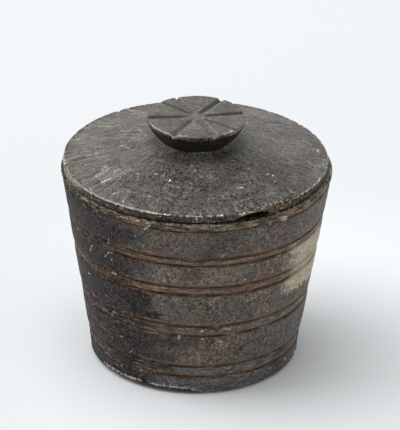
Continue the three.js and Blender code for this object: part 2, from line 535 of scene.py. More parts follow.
# %% Small scratches all round
chance = np.random.RandomState(7)
scratch_count = 240
small_marks = []
for scratch in range(scratch_count):
    start_turn, start_height = chance.uniform(-179, 179), chance.uniform(3, 96)
    length, lean = chance.uniform(0.6, 5), math.radians(chance.uniform(-20, 200))
    end_turn = start_turn + length * math.cos(lean)
    end_height = start_height + length * math.sin(lean)
    width, brightness = chance.uniform(0.3, 0.55), chance.uniform(0.15, 0.5)
    small_marks.append((start_turn, start_height, end_turn, end_height, width, brightness))
faint_scratches = mark_strength(body.radius, wall_height, small_marks) * wall
print("and", scratch_count, "faint scratches")

# %% Carve the container
inside = body.on("inner wall", "fillet", "inner floor")
scoops = 0.5 * blotches(place, (7, 7, 22), 59) * inside
tops = 0.15 * blotches(place, 6, 61) * body.on("rim top", "mouth", "underside")

surface = out_of_round + flats + tooth + dents * (1 - in_groove) + pits
# Each number below is how deep that mark goes, in mm
carved = -(
    cut
    + wall * surface * (1 - 0.7 * body.on("foot"))
    + 0.22 * near_edge
    + ridges * 0.2
    + 0.9 * rim_nicks
    + 0.35 * rim_band * ramp(crumbs, 0.4, 0.7)
    + 0.7 * foot_nicks
    + 0.25 * scratches
    + 0.6 * knocks
    + scoops
    + tops
)
radius = body.radius + carved * body.out

hair = 0.02  # keeps the rim just inside the solid
# At the front left the foot's edge stands off the ground, with a dark gap under it
foot_lift = 2.2
hollow_side = between(degrees, -95, -70, -14, 6)
foot_gap = foot_lift * hollow_side * body.on("foot")
height = np.maximum(body.height, foot_gap) + carved * body.upward + shift
radius = np.clip(radius, 0, rim_radius - hair)
height = np.clip(height, 0, body_height)
container_grid = body.points(radius, height)

# %% [markdown]
# What the stone wears is kept as masks, one value for each point: soot on the left, brown dust in
# the middle, a cool grey film near the foot, earth in the grooves, a pale lip above each groove,
# worn edges, one big rubbed patch on the right, and fresh broken stone. Painted shade is kept the
# same way, on the upper side of each groove, behind the lid's chip and under the foot, and so is a
# painted highlight along the foot's worn edge. The material reads them by name and frays their
# edges with finer noise.

# %% Soot on the container, and painted shade under the foot and behind the chip
# The soot ends at a ragged line: heights in mm, and the turn in degrees where it crosses each
band_heights = [0, 10, 18, 34, 45, 58, 66, 77, 83, 96]
soot_ends = [-28, -26, -21, -20, -20, -21, -29, -31, -28, -31]

ragged = 26 * (blotches(place, (9, 9, 5), 65, octaves=5) - 0.5)
soot_end = np.interp(wall_height, band_heights, soot_ends) + ragged
soot_blend = 5 + 11 * ramp(np.abs(wall_height - 52), 7, 13)
soot_and_shade = ramp(degrees, soot_end + soot_blend, soot_end - soot_blend) * ramp(degrees, -150, -100)
soot_and_shade *= 0.9 + 0.4 * blotches(place, (12, 12, 9), 67)
soot_and_shade += 0.4 * ramp(blotches(place, 16, 71), 0.55, 0.8)
soot_and_shade = soot_and_shade + 0.1 * ramp(wall_height, 14, 8) + 0.13 * ramp(np.abs(degrees), 32, 16)
soot_and_shade += 0.2 * ramp(degrees, 15, 35) * ramp(wall_height, 35, 29)
smoked = between(degrees, -150, -100, -45, -20)

# Painted shade: the lowest millimetres of the foot at the front left, over the gap, are drawn dark
painted_foot_shade = ramp(body.height, 3.1, 2.6) * ramp(hollow_side, 0.1, 0.4) * body.on("foot")
# Painted shade on the rim's top, in the hollow behind the lid's chipped edge
painted_chip_shade = 1.4 * body.on("rim top") * between(degrees, 9, 14, 30, 34)

# %% The rubbed patch, earth, dust and the cool film
frayed = blotches(place, (15, 15, 8), 79, octaves=4) - 0.5
patch_left = 49 + 10 * frayed + 5 * ramp(np.abs(wall_height - 60), 6, 14)
patch_left -= 8 * ramp(wall_height, 70, 76)
patch = ramp(degrees, patch_left - 6, patch_left + 6) * ramp(degrees + 70 * frayed, 112, 82)
patch = patch * ramp(wall_height + 10 * frayed, 45, 51) * ramp(wall_height + 9 * frayed, 80, 74)
patch *= 0.6 + 0.75 * blotches(place, (5, 5, 4), 95, octaves=3)

earth_spread = blotches(place, (16, 16, 5), 73, octaves=3)
upper_pairs = ramp(body.height, 48, 56)
brown_ridges = ridges * (0.15 + 0.85 * upper_pairs) * (0.1 + 0.7 * ramp(earth_spread, 0.35, 0.65))
earth = in_groove * (0.45 + 0.4 * earth_spread) + brown_ridges
earth = (earth + 0.3 * near_edge * ramp(earth_spread, 0.35, 0.6)) * (1 - 0.7 * patch)
earth *= 1 - 0.5 * smoked

lip_spread = ramp(blotches(place, (9, 9, 2), 81, octaves=3), 0.3, 0.6)
low_left = ramp(degrees, -12, -25) * ramp(wall_height, 48, 40)
lip_line = above_edge * (0.55 + 0.5 * lip_spread - 0.15 * upper_pairs) * wall
lip_line += 0.4 * ridges * between(degrees, -110, -90, -66, -48) * lip_spread
lip_line = lip_line * (1 - 0.5 * smoked) * (1 - 0.25 * low_left)

dusty = between(degrees, -24, -10, 50, 65) * between(wall_height, 48, 60, 76, 84)
low_dust = between(degrees, -16, -4, 14, 30) * between(wall_height, 16, 20, 30, 36)
dusty += 0.8 * low_dust
dust = 0.95 * dusty * ramp(blotches(place, (8, 8, 14), 97, octaves=3), 0.25, 0.6)

cool_spread = ramp(blotches(place, (13, 13, 7), 99, octaves=3), 0.3, 0.6)
cool = (ramp(wall_height, 10, 8) + ridges * (1 - upper_pairs)) * (0.4 + 0.5 * cool_spread)
cool += 0.5 * ramp(degrees, 20, 45) * ramp(wall_height, 36, 30) * cool_spread

# %% Worn rim and foot, fresh stone, and a painted highlight on the foot's edge
wear_spread = blotches(place, (9, 9, 3), 83, octaves=3)
rim_right = between(degrees, 10, 45, 80, 110)
rim_left = ramp(degrees, -20, -40)
wear = rim_band * (0.1 + 0.6 * wear_spread + 0.3 * rim_right - 0.12 * rim_left)
wear += 0.4 * body.on("rim", "rim top", "mouth") * ramp(wear_spread, 0.35, 0.65)
wear = wear + 0.7 * foot_nicks + 0.5 * body.on("foot") * ramp(wear_spread, 0.45, 0.65)

# The pale edge over the gap under the foot, worn and painted as a highlight: how high it runs,
# and how broad it is, in mm
foot_highlight_height = 3.4
foot_highlight_width = 0.7
worn_foot_highlight = bump(body.height - foot_highlight_height, foot_highlight_width)
worn_foot_highlight = worn_foot_highlight * between(degrees, -72, -55, -10, 10) * ramp(wear_spread, 0.2, 0.42)

stained = 0.7 * between(degrees, 18, 30, 46, 58) + 0.5 * between(degrees, -38, -32, -24, -18)
stain = rim_band * (stained + 0.5 * ramp(blotches(place, (10, 10, 4), 89), 0.5, 0.75))
grime = 0.85 * rim_band * ramp(blotches(place, (4, 4, 1.6), 91, octaves=3), 0.45, 0.65)
faded = (1 + 0.7 * smoked) * (1 - 0.5 * ramp(degrees, -50, -75))
# Fresh stone, and the worn, painted highlight along the foot
fresh_and_highlight = [0.8 * scratches, 0.9 * knocks, faded * faint_scratches, 0.75 * worn_foot_highlight]
fresh_and_highlight = np.max(fresh_and_highlight, axis=0)

# %% Where the stone looks drawn out, dull or calm
scraped_left = ramp(degrees, -32, -42) * between(wall_height, 17, 20, 31, 34)
drawn = 0.85 * np.maximum(ridges, in_groove) + 0.7 * rim_band + 0.8 * scraped_left
drawn += 0.3 * ramp(blotches(place, 14, 93), 0.5, 0.7)
dull = np.maximum(0.9 * painted_groove_shade, 0.5 * soot_and_shade)
calm = 0.38 * (1 - np.clip(soot_and_shade, 0, 1)) + 0.3 * patch + 0.2 * in_groove + 0.35 * lip_line

container = make_piece(
    "carved_container",
    container_grid,
    {
        # Soot, and painted shade behind the lid's chip and under the foot
        "soot_and_shade": np.minimum(soot_and_shade, 1) * wall + painted_chip_shade + 1.5 * painted_foot_shade,
        "earth": np.minimum(earth, 1) * wall,
        # Painted shade on the upper side of each groove
        "cut": painted_groove_shade * wall * (1 - 0.6 * patch),
        "lip": lip_line,
        "dust": dust * wall,
        "cool": cool * wall,
        "patch": patch * wall,
        "wear": wear * (painted_chip_shade == 0) * (1 - painted_foot_shade),
        "stain": stain,
        "grime": grime,
        "fresh_and_highlight": fresh_and_highlight,
        "drawn": drawn * wall,
        "dull": dull * wall,
        "calm": calm * wall,
    },
    (0, 0),
)

# %% [markdown]
# ## The lid
#
# The lid is one stone: a low plug below, a thin edge, a shallow dome, and a knob shaped like an
# upturned cup. The dome was scraped from the edge towards the knob, so its tool marks run like
# spokes. The knob's flat top has eight strokes cut with a blade, each a V that widens and
# deepens towards the rim.

# %% Sizes of the lid
lid_edge = 4.3
lid_edge_rounding = 0.7
seat_gap = 0.3
plug_clearance = 1
plug_bevel = 1
dome_rise = 10.2
dome_crown = 0.5
neck_radius = 18.2
neck_flare = 2.8
neck_rise = 0.9
knob_radius = 24.1
knob_belly = 0.7
knob_lip = 1.9
lip_rounding = 0.5
lid_centre = (-0.44, 0)

lid_under = body_height + seat_gap
lid_top = lid_under + lid_edge
plug_radius = mouth_radius - plug_clearance
edge_centre = lid_radius - lid_edge_rounding
neck_corner = (neck_radius, lid_top + dome_rise)
flare_drop = dome_rise * neck_flare / (edge_centre - neck_radius)
flare_start = (neck_radius + neck_flare, neck_corner[1] - flare_drop)
neck = (neck_radius, lid_top + dome_rise + neck_rise)
lip_low = (knob_radius, knob_top - knob_lip)
lip_centre = (knob_radius - lip_rounding, knob_top - lip_rounding)
bevel_in = (plug_radius - plug_bevel, plug_under)
bevel_out = (plug_radius, plug_under + plug_bevel)
low_centre = (edge_centre, lid_under + lid_edge_rounding)
top_centre = (edge_centre, lid_top - lid_edge_rounding)

# %% Profile of the lid
cap = Rings({
    "plug under": line((1.5, plug_under), bevel_in, 9),
    "plug bevel": line(bevel_in, bevel_out, 0.8),
    "plug side": line(bevel_out, (plug_radius, lid_under), 1.2),
    "under": line((plug_radius, lid_under), (edge_centre, lid_under), 0.8),
    "low corner": arc(low_centre, lid_edge_rounding, -90, 0, 0.35),
    "edge": line((lid_radius, low_centre[1]), (lid_radius, top_centre[1]), 0.35),
    "top corner": arc(top_centre, lid_edge_rounding, 0, 90, 0.25),
    "dome": bow((edge_centre, lid_top), flare_start, dome_crown, 0.58),
    "flare": bend(flare_start, neck_corner, neck, 0.45),
    "knob side": bow(neck, lip_low, knob_belly, 0.55),
    "lip": line(lip_low, (knob_radius, lip_centre[1]), 0.25),
    "lip corner": arc(lip_centre, lip_rounding, 0, 90, 0.2),
    "top": line((lip_centre[0], knob_top), (0.5, knob_top), 0.75),
})
print("the lid has", len(cap.names), "rings")

# %% Strokes in the knob
# Degrees from the front towards the right, width and depth in mm at the knob's rim, where the
# deepest line lies between the two edges, from -1 to 1 (the blade was held aslant), and how
# much painted shade its steep side gets
broad_stroke = 4.1
narrow_stroke = 2.4
deep_stroke = 1.5
shallow_stroke = 1
stroke_start = 2.5
strokes = [
    (102.8, broad_stroke, deep_stroke, 0.15, 0.75),
    (149.5, broad_stroke, deep_stroke, 0.15, 0.7),
    (-155.8, narrow_stroke, deep_stroke, 0.05, 0.1),
    (-133.3, narrow_stroke, shallow_stroke, -0.1, 0.6),
    (-86.6, broad_stroke, deep_stroke, -0.1, 0.7),
    (-27.5, broad_stroke, deep_stroke, -0.1, 0.35),
    (22.4, broad_stroke, deep_stroke, -0.05, 0.1),
    (54, narrow_stroke, shallow_stroke, 0.1, 0.45),
]

cup = cap.place
lid_r = cap.radius
unevenness = blotches(cup, 5, 101) - 0.5
stroke_cut, stroke_edge, painted_stroke_shade = np.zeros((3, *cup.shape[:2]))
for angle, width, depth, root, stroke_shade in strokes:
    off = (degrees - angle + 180) % 360 - 180
    half_width = width / 2 * (0.85 + 0.15 * lid_r / knob_radius) * (1 + 0.3 * unevenness)
    half_angle = np.degrees(half_width / np.maximum(lid_r, stroke_start))
    reach = ramp(lid_r, stroke_start - 1, stroke_start + 3) * (0.35 + 0.65 * lid_r / knob_radius)
    aside = off / half_angle
    wedge = np.clip(np.minimum((1 + aside) / (1 + root), (1 - aside) / (1 - root)), 0, 1)
    stroke_cut = np.maximum(stroke_cut, depth * reach * wedge)
    gentle = ramp(np.abs(aside + math.copysign(1.08, root)), 0.3, 0.05)
    stroke_edge = np.maximum(stroke_edge, gentle * (0.35 + 0.65 * reach))
    # The steep side and the root of each stroke get painted shade
    steep = ramp(wedge, 0.02, 0.2) * ((aside - root) * root >= 0)
    steep = np.maximum(steep, 0.7 * ramp(wedge, 0.75, 1)) * ramp(lid_r, 3, 6)
    painted_stroke_shade = np.maximum(painted_stroke_shade, stroke_shade * steep)
on_knob = cap.on("knob side", "lip", "lip corner", "top")
sink = ramp(cap.height, knob_top - 3.6, knob_top - 0.4) * on_knob
print("the deepest stroke is", round(float((stroke_cut * sink).max()), 2), "mm")

# %% [markdown]
# A flake broke out of the lid's lower edge at the front, leaving a low arch with a dark hollow
# behind it. It is made by lifting the rings of the lower edge over the arch, so the break has
# real depth and a real lip.

# %% Broken edge of the lid
chip_angle = 25.3
chip_length = 19
chip_height = 3.1
chip_depth = 4

chip_side = np.radians(degrees - chip_angle) * lid_radius / (chip_length / 2)
chip_noise = 0.18 * (blotches(cap.points(lid_radius, 0), 2.5, 103) - 0.5)
chip_share = np.clip(np.abs(chip_side) + chip_noise, 0, 1)
# The break climbs slowly on the left and ends steeply on the right
bowed = np.where(chip_side > 0, 4.5, 1.6)
ended = np.where(chip_side > 0, 0.5, 0.8)
arch = chip_height * (1 - chip_share**bowed) ** ended
hollowed = ramp(lid_r, lid_radius - chip_depth - 0.6, lid_radius - 0.8) ** 1.4
edge_share = np.clip((lid_top - cap.height) / lid_edge, 0, 1)
lift = arch * hollowed * cap.on("under", "low corner")
lift += arch * edge_share * cap.on("edge", "top corner")
on_edge = cap.on("edge", "low corner", "top corner")

broken_left = between(degrees, -84, -76, -63, -55)
broken_right = (0.65 * ramp(degrees, 12, 20) + 0.35 * ramp(degrees, 28, 33)) * ramp(degrees, 50, 43)
near_top = ramp(cap.height, lid_top - 2.6, lid_top - 0.5) * cap.on("edge", "top corner")
near_top += ramp(lid_r, lid_radius - 3, lid_radius - 1) * cap.on("dome")
nibbles = ramp(blotches(cup, 2.6, 107), 0.55, 0.85)
low_nibbles = ramp(blotches(cup, 3.1, 109), 0.6, 0.85) * cap.on("low corner", "under")

# %% Radial tool marks of the dome
def spokes(count, length, seed):
    """Random strokes that run from the edge to the knob: so many round the lid, length in mm"""
    # They curl a little beside the knob, where the scraper had to turn away
    swirl = turn + 0.3 * np.exp(-(lid_r - neck_radius) / 9)
    reach = count / (2 * math.pi)
    grid = [reach * np.sin(swirl), -reach * np.cos(swirl), lid_r / length + 0 * turn]
    return lattice(np.stack(grid, axis=-1), seed)


on_dome = cap.on("dome", "flare")
swept = 0.1 + 0.8 * ramp(degrees, -28, -50) + 0.4 * ramp(degrees, 45, 65)
broad_marks = spokes(64, 17, 113) * (0.3 + 0.5 * swept)
fine_marks = spokes(170, 11, 127) * 0.6 * swept
lumps = blotches(cup, 9, 131)
leather = blotches(cup, 2.1, 133)
dome_dents = ramp(blotches(cup, 3, 137, octaves=1), 0.75, 0.97)

# %% Named knocks and scratches on the lid
# Turn in degrees and distance from the axis in mm at both ends, width in mm, and brightness
lid_marks = [
    (-61.5, 55.4, -62, 45.6, 0.5, 0.75),
    (-63.5, 54, -64.5, 47, 0.5, 0.5),
    (-53.9, 56.8, -52.5, 52.1, 0.6, 0.7),
    (-41.7, 59.2, -39.6, 55.8, 0.5, 0.6),
    (-53.8, 62.6, -53, 62.9, 0.8, 0.8),
    (-43.4, 41.2, -42.8, 41.4, 0.9, 0.95),
    (-38.6, 44.4, -38, 46, 0.6, 0.7),
    (-17.7, 40.1, -17.3, 40.2, 0.6, 0.55),
    (-90, 37, -78, 33.6, 0.5, 0.4),
    (-84, 34.6, -74, 31, 0.5, 0.4),
    (-106.6, 60.4, -105.6, 60.6, 1.0, 0.8),
    (-117.5, 32.6, -113.6, 29.2, 1.0, 0.6),
    (53.2, 47, 54, 47, 0.6, 1),
    (51.6, 44.7, 52.4, 44.7, 0.6, 0.7),
    (49.2, 50.7, 50.2, 50.7, 0.6, 0.7),
    (95.4, 60.5, 98.6, 60.6, 0.7, 0.6),
    (79, 59.6, 82, 59.6, 0.6, 0.5),
    (26, 47, 29, 47.5, 1.0, 0.45),
]
knob_chips = [
    (-67, 24, -46, 24.1, 0.4, 0.9),
    (-46, 24, -29, 24.1, 0.5, 1),
    (-25, 23.3, -20, 22.6, 1.7, 1),
    (-19, 23.3, -14, 22, 1.5, 0.9),
    (-11, 23, -9, 22.4, 0.8, 0.8),
    (5, 23.4, 9, 23.4, 0.6, 0.6),
    (31, 22.4, 33, 22.4, 0.6, 0.8),
    (36, 23.2, 41, 22.6, 1.5, 0.9),
    (43, 23.3, 50, 22.9, 1.7, 1),
    (61, 22.4, 64, 22.6, 0.6, 0.6),
]
lip_top = ramp(cap.height, knob_top - 1.1, knob_top - 0.5) * cap.on("lip")
on_top = cap.on("lip corner", "top") + lip_top
lid_reach = lid_r + 0 * turn
lid_scratches = 1.4 * mark_strength(lid_r, lid_reach, lid_marks) * on_dome
chipped = mark_strength(lid_r, lid_reach, knob_chips) * on_top
print(len(lid_marks), "marks on the dome and", len(knob_chips), "chips on the knob")

# %% Long gouges left by the scraper
chance = np.random.RandomState(11)
# Turn from and to, how many gouges, and how strong they are
gouge_zones = [(-120, -30, 30, 1), (-30, 35, 2, 0.5), (35, 110, 16, 0.4), (110, 240, 30, 0.7)]
gouge_list = []
for zone_start, zone_end, count, force in gouge_zones:
    for gouge in range(count):
        start_turn, start_reach = chance.uniform(zone_start, zone_end), chance.uniform(32, 63)
        length, lean = chance.uniform(4, 13), math.radians(chance.uniform(-16, 8))
        end_reach = start_reach - length * math.cos(lean)
        end_turn = start_turn + math.degrees(length * math.sin(lean) / start_reach)
        width, strength = chance.uniform(0.5, 1), force * chance.uniform(0.4, 1)
        gouge_list.append((start_turn, start_reach, end_turn, end_reach, width, strength))
gouges = mark_strength(lid_r, lid_reach, gouge_list) * on_dome
print(len(gouge_list), "gouges on the dome")

# %% Carve the lid
knob_flats = 0.35 * blotches(cup, (6, 6, 9), 139)
top_scrapes = 0.22 * blotches(cup, (9, 2.5, 5), 149)
plug_marks = 0.2 * blotches(cup, 6, 151)
lip_crumbs = ramp(blotches(cup, 3.6, 157), 0.5, 0.85) * cap.on("lip", "lip corner")
lip_crumbs *= 1 - 0.7 * between(degrees, -80, -70, -30, -20)

scraped = 0.3 * broad_marks + 0.26 * fine_marks
scraped = scraped + 0.3 * lumps + 0.45 * leather + 0.3 * dome_dents
worked = -(
    on_dome * scraped
    + cap.on("knob side") * knob_flats
    + cap.on("top") * top_scrapes
    + 0.5 * lip_crumbs
    + cap.on("plug under", "plug side", "plug bevel") * plug_marks
    + 0.25 * blotches(cup, 12, 163) * on_edge
    + near_top * (1.5 * broken_left + 1.7 * broken_right + 0.45 * nibbles)
    + 0.7 * near_top * between(degrees, 20, 32, 60, 72) * nibbles
    + 0.8 * low_nibbles
    + 0.25 * lid_scratches
    + 0.3 * gouges
    + 0.45 * chipped
)
lid_radius_grid = lid_r + worked * cap.out
lid_height_grid = cap.height + worked * cap.upward + lift - stroke_cut * sink
lid_height_grid = np.clip(lid_height_grid, plug_under, knob_top)
lid_radius_grid = np.clip(lid_radius_grid, 0, lid_radius)

# %% [markdown]
# The lid is darker at the front and rubbed bare elsewhere, with painted shade on the knob's
# flaring side, round its foot, in its strokes and in the hollow behind the chip. Its edge and the
# knob's lip are worn pale in places, partly as a painted highlight, crumbs of beige dirt hold to
# the breaks, and rust-brown earth lies above the chip's right end.

# %% Worn edges of the lid, partly painted highlight
edge_wear_and_highlight = ramp(np.hypot(lid_r - edge_centre - 0.35, cap.height - lid_top + 0.25), 0.95, 0.3)
edge_wear_and_highlight *= cap.on("edge", "top corner", "dome")
left_wear_and_highlight = 0.3 + 0.7 * between(degrees, -100, -80, -18, -5)
wear_right = 0.4 * between(degrees, 42, 48, 68, 80)
lid_spread = blotches(cup, 3, 167, octaves=3)
lid_wear_and_highlight = edge_wear_and_highlight * (left_wear_and_highlight + wear_right) * (0.6 + 1.1 * lid_spread)

lip_edge = ramp(np.hypot(lid_r - lip_centre[0], cap.height - knob_top + 0.2), 0.7, 0.2)
# The pale line on the knob's lip at the front left is wear with a painted highlight on it
left_lip_highlight = 0.05 + 1.2 * between(degrees, -72, -66, -30, -24)
lip_wear_and_highlight = left_lip_highlight * lip_edge * on_top * (0.6 + 0.7 * blotches(cup, 4, 173))
# The pale line along the lid's left edge is wear with a painted highlight on it
pale_edge_highlight = 0.75 * lid_wear_and_highlight * between(degrees, -70, -62, -24, -8)
pale_lip_highlight = np.maximum(0.9 * lip_wear_and_highlight, pale_edge_highlight)

chip_lip = ramp(np.abs(cap.height + lift - lid_under - arch), 0.9, 0.15) * (arch > 0.25)
chip_lip = chip_lip * cap.on("edge", "low corner") * ramp(chip_side, 0.75, 0.5)

# %% Soot, painted shade, crumbs and rust on the lid
front = between(degrees, -62, -25, 55, 88)
# Darker towards the front; nearer the knob the darkening is painted shade round its foot
dome_darkening = front * (0.41 + 0.05 * ramp(degrees, 5, 25) + 0.06 * ramp(lid_r, 45, 24))
dome_darkening += 0.1 * ramp(lid_r, 27, 20)
kept_edge = ramp(degrees, -67, -62) + ramp(degrees, -100, -112)
kept_edge *= 1 + 0.3 * between(degrees, 40, 50, 75, 90)
sooty_lip = cap.on("lip") * ramp(cap.height, knob_top - 0.5, knob_top - 1) * ramp(degrees, 45, 30)
# Soot on the lid's edge, and soot with painted shade on the knob's flaring side
lid_soot_and_shade = 0.62 * kept_edge * cap.on("edge", "low corner", "under") + 1.4 * cap.on("knob side")
# Painted shade on the flare at the knob's foot, then the dome's darkening and soot on the knob's
# lip
lid_soot_and_shade = lid_soot_and_shade + 0.25 * cap.on("flare") + cap.on("dome") * dome_darkening + 1.4 * sooty_lip
# Painted shade on the steep sides of the knob's strokes and in the hollow behind the chip
lid_soot_and_shade = lid_soot_and_shade + painted_stroke_shade * on_top + 1.4 * (lift > 0.3) * cap.on("under")

crumb_line = bump(lid_r - 62.8 - 2 * (leather - 0.5), 0.6) * cap.on("dome")
crumb_line *= between(degrees, 10, 18, 44, 52)
side_left = broken_left * on_edge
side_specks = ramp(blotches(cup, (3, 3, 1.5), 193, octaves=3), 0.5, 0.75)
side_specks *= cap.on("edge", "low corner")
above_chip = (arch > 1) * ramp(chip_side, 0.9, 0.7) * cap.on("edge", "top corner")
beige = 0.7 * near_top * broken_left + 0.55 * side_left + 0.9 * chipped + 0.6 * crumb_line
beige = beige + 0.4 * side_specks + 0.3 * above_chip
rust = 0.95 * between(degrees, 32, 35, 44, 50) * on_edge

# %% Where the lid looks drawn out, dull or calm
lid_drawn = on_dome * swept * (0.15 + 1.1 * blotches(cup, 11, 179))
lid_dull = 0.8 * cap.on("edge", "low corner", "under") + cap.on("knob side")
lid_dull = lid_dull + 0.5 * cap.on("flare") + 0.6 * painted_stroke_shade * on_top
lid_dull = lid_dull + 0.45 * on_dome * front * ramp(lid_r, 64, 56)
lid_calm = 0.68 * on_top + 0.5 * on_dome * (1 - front) + 0.6 * cap.on("knob side") + 0.5 * side_left
lid_calm = np.minimum(lid_calm + 0.8 * pale_lip_highlight + 0.6 * chip_lip, 0.92)

lid = make_piece(
    "carved_lid",
    cap.points(lid_radius_grid, lid_height_grid),
    {
        "soot_and_shade": lid_soot_and_shade,
        # The lid's wear mask also holds the painted highlight on its left edge and the knob's lip
        "wear": np.maximum(lid_wear_and_highlight, lip_wear_and_highlight),
        "gouged": 0.8 * gouges + 0.9 * stroke_edge * on_top,
        "fresh_and_highlight": np.max([lid_scratches, 0.5 * chipped, 0.8 * chip_lip, pale_lip_highlight], axis=0),
        "beige": beige,
        "rust": rust,
        "drawn": lid_drawn,
        "dull": 0.85 * lid_dull,
        "calm": lid_calm,
    },
    lid_centre,
)

# %% [markdown]
# ## Soapstone as a material
#
# Soapstone is mostly talc, with darker chlorite and magnetite. Freshly cut it is pale grey, and
# handling and smoke turn it brown-black with a soft, waxy shine. Its look is built up in layers,
# from the cloudy ground to the dirt and wear on top, and the size of every pattern is given in
# millimetres.

# %% Helpers for colours and nodes
def linear(code):
    """An sRGB hex colour as the linear colour that the shader expects"""
    parts = [int(code[start : start + 2], 16) / 255 for start in (1, 3, 5)]
    parts = [part / 12.92 if part <= 0.04045 else ((part + 0.055) / 1.055) ** 2.4 for part in parts]
    return parts + [1]


def node(tree, kind, inputs=None, **settings):
    """Adds a node with its settings; an input is a value, or another node's output to link"""
    made = tree.nodes.new("ShaderNode" + kind)
    for setting, value in settings.items():
        setattr(made, setting, value)
    for key, value in (inputs or {}).items():
        if isinstance(value, bpy.types.NodeSocket):
            tree.links.new(value, made.inputs[key])
        else:
            made.inputs[key].default_value = value
    return made


def remap(tree, value, low, high, to_low=0, to_high=1, **settings):
    """Spreads low to high of a value over another range"""
    limits = {"From Min": low, "From Max": high, "To Min": to_low, "To Max": to_high}
    return node(tree, "MapRange", {"Value": value, **limits}, **settings).outputs[0]


def maths(tree, operation, *values):
    """A sum on plain values and on the outputs of other nodes"""
    return node(tree, "Math", dict(enumerate(values)), operation=operation).outputs[0]


def painted(tree, mask):
    """One of the masks that the points carry"""
    return node(tree, "Attribute", attribute_name=mask).outputs["Fac"]


# The mix node's two inputs, its output and its kind, for colours and for plain values
COLOURS = (6, 7, 2, "RGBA")
VALUES = (2, 3, 0, "FLOAT")


def blended(tree, share, first, second, kind=COLOURS):
    """A share of the way from the first to the second"""
    first_input, second_input, output, data_type = kind
    inputs = {0: share, first_input: first, second_input: second}
    return node(tree, "Mix", inputs, data_type=data_type).outputs[output]


# %% [markdown]
# Each layer is a mask and two tints that mingle in it. A mask painted on points has soft edges,
# and dirt does not, so a fine noise is added to every mask before it is cut off. Grain is how much
# of that noise the layer takes, so that its edge breaks up into specks. Softness is how gradually
# it ends: dust fades away, and a scratch stops short.

# %% Layers of dirt and wear
barely_there = 0.02  # below this a mask counts as bare stone


def frayed_layer(tree, colour, fray, blend, mask_name, tints, grain, softness, strength):
    """Covers a colour with two blended tints where the mask, broken up by noise, is high"""
    mask = painted(tree, mask_name)
    torn = maths(tree, "MULTIPLY_ADD", fray, grain, mask)
    low, high = 0.5 - softness, 0.5 + softness
    edge = remap(tree, torn, low, high, to_high=strength, interpolation_type="SMOOTHSTEP")
    present = maths(tree, "GREATER_THAN", mask, barely_there)
    cover = maths(tree, "MULTIPLY", edge, present)
    tint = blended(tree, blend, linear(tints[0]), linear(tints[1]))
    return blended(tree, cover, colour, tint)


# %% The stone itself
# Size in mm, how many finer layers it holds, and how strong those are. Real flakes of talc are
# finer than these specks, which are drawn coarse so that they show
noises = {"clouds": (12, 4, 0.65), "mottle": (2, 4, 0.8), "specks": (0.9, 2, 0.6)}
relief_depth = 0.9
speck_depth = 0.4


def spoke_place(tree, place, spokes_round, length):
    """A place that is stretched along the spokes of the lid, so many round it, length in mm"""
    apart = node(tree, "SeparateXYZ", {0: place})
    flat = node(tree, "CombineXYZ", {0: apart.outputs[0], 1: apart.outputs[1]}).outputs[0]
    distance = node(tree, "VectorMath", {0: flat}, operation="LENGTH").outputs["Value"]
    spoke = node(tree, "VectorMath", {0: flat}, operation="NORMALIZE").outputs[0]
    turned = {0: spoke, "Scale": spokes_round / (2 * math.pi)}
    round_lid = node(tree, "VectorMath", turned, operation="SCALE").outputs[0]
    along = maths(tree, "DIVIDE", distance, length * MM)
    lifted = node(tree, "CombineXYZ", {2: along}).outputs[0]
    return node(tree, "VectorMath", {0: round_lid, 1: lifted}, operation="ADD").outputs[0]


